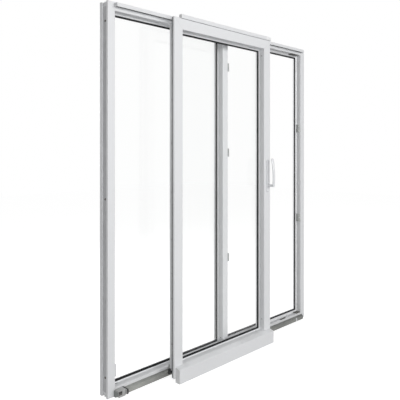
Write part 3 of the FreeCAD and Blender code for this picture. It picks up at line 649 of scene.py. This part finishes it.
def make_glazing_trim():
    """Slim outer beads of both panes, and the slim stop round the doorway."""
    make_ring("fixed_glass_outer_beads", "frame", "white_bead", white_along_z, FIXED_LIGHT,
              [(0, 0.021), (0.011, 0.021), (0.0097, 0.0353), (0.0085, 0.0365), (0, 0.0365)],
              "fixed_glass_beads")
    make_ring("sash_glass_outer_beads", "sash", "white_bead", white_along_z, LEAF_LIGHT,
              [(0, -0.0915), (0.011, -0.0915), (0.0097, -0.0807), (0.0085, -0.0795),
               (0, -0.0795)], "sash_glass_beads")
    make_ring("doorway_stop_trim", "frame", "white_bead", white_along_z, DOORWAY,
              [(0, -0.0003), (0.0012, -0.0001), (0.014, 0.0086), (0.025, 0.0086),
               (0.025, 0.017), (0.0238, 0.0184), (0, 0.0184)], "doorway_stop")


def make_gasket_flaps():
    """The soft edge of both panes' gaskets, folded over the glazing lip."""
    make_ring("fixed_gasket_flap", "frame", "black_rubber", rubber,
              (*FIXED_LIGHT[:3], FIXED_LIGHT[3] - FLAP_DROP),
              [(0.008, 0.0057), (0.0182, 0.0057), (0.019, 0.0065), (0.019, 0.0084),
               (0.0101, 0.0084), (0.0101, 0.0064), (0.008, 0.0064)])
    make_ring("sash_gasket_flap", "sash", "black_rubber", rubber,
              (*LEAF_LIGHT[:3], LEAF_LIGHT[3] - FLAP_DROP),
              [(0.008, -0.1044), (0.0182, -0.1044), (0.019, -0.1036), (0.008, -0.1036)])


def make_edge_tapes():
    """Grey foam tape in the recess of both jambs' outer edges, whose grey also paints the
    shade in that recess, with the frame anchors' heads.
    """
    tapes = []
    anchors = []
    for side, toward in ((-1, LEFT), (1, RIGHT)):
        near, far = sorted((side * TAPE_FACE, side * 0.9148))
        tapes.append(((near, -0.0212, 0.024), (far, 0.0172, 2.076), 0.0003, 1))
        for height in FIXING_HEIGHTS:
            anchors.append(((side * TAPE_FACE, FIXING_DEPTH, height), toward, 0.0062))
    make_blocks("jamb_edge_tapes_and_painted_shade", "frame", "white_plastic", tape_foam_and_painted_shade, tapes)
    make_screws("frame_anchor_heads", "frame", "zinc_steel", burnished, anchors)


def make_bottom_cover():
    """The board before the leaf's bottom rail, with a rounded shoulder, and its end caps."""
    board = bmesh.new()
    add_bar(board, [(-0.1835, 0.0006), (-0.1835, 0.0745), (-0.1827, 0.0775),
                    (-0.1808, 0.0796), (-0.178, 0.0808), (-0.1476, 0.088), (-0.1476, 0.066),
                    (-0.1498, 0.066), (-0.1498, 0.0853), (-0.1781, 0.0784),
                    (-0.1813, 0.0741), (-0.1813, 0.0028), (-0.1715, 0.0028),
                    (-0.1715, 0.0006)], -0.5393, 0.3243, 0.0003)
    make_piece(board, "bottom_cover_board", "sash", "white_aluminium", white_metal,
               "bottom_cover")
    caps = bmesh.new()
    for x0, x1 in ((-0.5425, -0.5395), (0.3245, 0.3275)):
        add_bar(caps, [(-0.1838, 0.0003), (-0.1838, 0.0745), (-0.183, 0.0776),
                       (-0.181, 0.0799), (-0.1781, 0.0811), (-0.1477, 0.0884),
                       (-0.1477, 0.0003)], x0, x1, 0.0008)
    make_piece(caps, "bottom_cover_end_caps", "sash", "white_plastic", caps_painted_light,
               "bottom_cover_caps")


def make_top_cover_shadow_strip():
    """A thin grey strip in the joint under the top cover's front edge: it marks the joint and
    paints the cover's shadow on the leaf.
    """
    shadow_strip = [((-0.4985, -0.1508, 2.0618), (0.334, -0.1474, 2.0632), 0.0003, 2)]
    make_blocks("top_cover_painted_shadow", "sash", "black_rubber", joint_shadow_grey, shadow_strip)


def make_guide_lining_and_shade():
    """Black sliding strips that line the guide rail's inside; their black also paints the
    shade in its slot.
    """
    strips = [((-0.877, y0, z0), (0.869, y1, z1), 0.0002, 1)
              for y0, y1, z0, z1 in ((-0.0628, -0.0392, 2.0876, 2.0884),
                                     (-0.0629, -0.0621, 2.0738, 2.0876),
                                     (-0.0399, -0.0391, 2.0738, 2.0876))]
    make_blocks("guide_rail_lining_painted_shade", "frame", "black_plastic", black_moulded, strips)


def make_lever_collar():
    """The turned collar round the lever's neck on the backplate."""
    shape = bmesh.new()
    x, y, z = LEVER_NECK
    outline = [(0.0095, 0.0), (0.0126, 0.0), (0.0126, 0.0016), (0.0116, 0.0026),
               (0.0095, 0.0026)]
    corners = [shape.verts.new((x + radius, y - height, z)) for radius, height in outline]
    bmesh.ops.spin(shape, geom=corners + close_loop(shape, corners), cent=LEVER_NECK,
                   axis=(0, -1, 0), angle=math.tau, steps=40, use_merge=True)
    bmesh.ops.recalc_face_normals(shape, faces=shape.faces)
    make_piece(shape, "lever_collar", "sash", "white_lacquer", white_lacquer)


def make_stay_rivets():
    """Rivet heads on the pivots of the stay arms."""
    rivets = bmesh.new()
    for x in (-0.401, 0.186):
        place = Matrix.Translation((x, -0.1075, 2.04655)) @ Matrix.Diagonal((1, 1, 0.42, 1))
        bmesh.ops.create_icosphere(rivets, subdivisions=3, radius=0.0052, matrix=place)
    make_piece(rivets, "stay_rivets", "sash", "zinc_steel", zinc)


make_keep_screws()
make_keep_noses()
make_strip_screws()
make_reveal_screws()
make_drain_slot_shade()
make_fixing_caps()
make_stop_parts()
make_glazing_trim()
make_gasket_flaps()
make_edge_tapes()
make_bottom_cover()
make_top_cover_shadow_strip()
make_guide_lining_and_shade()
make_lever_collar()
make_stay_rivets()


# Floor, camera and light

FLOOR_HALF = 12.0
DOOR_MIDDLE = (0, 0, 1.1)


def plain_view(tree):
    """1 for a ray that the eye, a mirror or a clear pane sends, 0 for light's own rays."""
    path = tree.nodes.new("ShaderNodeLightPath")
    mirrored = number(tree, "MAXIMUM", path.outputs["Is Glossy Ray"],
                      path.outputs["Is Transmission Ray"])
    return number(tree, "MAXIMUM", path.outputs["Is Camera Ray"], mirrored)


def white_ground():
    """A white floor that still shows the object's shadow."""
    material, tree, surface = new_material("ground")
    shader = tree.nodes.new("ShaderNodeBsdfPrincipled")
    shader.inputs["Base Color"].default_value = (0.5, 0.5, 0.5, 1)
    shader.inputs["Roughness"].default_value = 0.9
    shader.inputs["Specular IOR Level"].default_value = 0.0
    glow = tree.nodes.new("ShaderNodeEmission")
    tree.links.new(spread(tree, plain_view(tree), 0.0, 0.88), glow.inputs["Strength"])
    add = tree.nodes.new("ShaderNodeAddShader")
    tree.links.new(shader.outputs["BSDF"], add.inputs[0])
    tree.links.new(glow.outputs["Emission"], add.inputs[1])
    tree.links.new(add.outputs["Shader"], surface)
    return material


def make_floor():
    """A wide ground at the level of the sill's underside."""
    mesh = bpy.data.meshes.new("floor")
    corners = [(x * FLOOR_HALF, y * FLOOR_HALF, 0)
               for x, y in ((-1, -1), (1, -1), (1, 1), (-1, 1))]
    mesh.from_pydata(corners, [], [(0, 1, 2, 3)])
    floor = bpy.data.objects.new("floor", mesh)
    bpy.context.scene.collection.objects.link(floor)
    mesh.materials.append(white_ground())


def make_camera():
    """Level camera to the left of the door, turned 45 degrees from the wall's normal."""
    camera = bpy.data.cameras.new("camera")
    camera.sensor_width = 36.0
    camera.lens = 44.8
    camera.shift_y = -0.1225
    holder = bpy.data.objects.new("camera", camera)
    holder.location = (-2.4285, -2.2288, 1.3063)
    holder.rotation_euler = (math.radians(90), 0, math.radians(-45))
    bpy.context.scene.collection.objects.link(holder)
    bpy.context.scene.camera = holder


def make_lamp(name, place, size, power):
    """A square soft lamp that looks at the middle of the door."""
    lamp = bpy.data.lights.new(name, "AREA")
    lamp.shape = "SQUARE"
    lamp.size = size
    lamp.energy = power
    holder = bpy.data.objects.new(name, lamp)
    holder.location = place
    aim = Vector(DOOR_MIDDLE) - Vector(place)
    holder.rotation_euler = aim.to_track_quat("-Z", "Y").to_euler()
    bpy.context.scene.collection.objects.link(holder)


def make_world(strength):
    """A pale even sky that shows as white behind the object."""
    world = bpy.data.worlds.new("sky")
    bpy.context.scene.world = world
    world.use_nodes = True
    tree = world.node_tree
    sky = tree.nodes["Background"]
    tree.links.new(spread(tree, plain_view(tree), strength, 1.0), sky.inputs["Strength"])
    sky.inputs["Color"].default_value = (1, 1, 1, 1)


make_floor()
make_camera()
make_world(0.22)
make_lamp("left_lamp", (-3.6, -4.9, 2.5), 1.8, 112)
make_lamp("front_lamp", (0.3, -4.6, 2.3), 2.2, 92)
make_lamp("rear_lamp", (-0.9, 3.0, 1.9), 1.6, 66)

bpy.context.scene.view_settings.view_transform = "Standard"
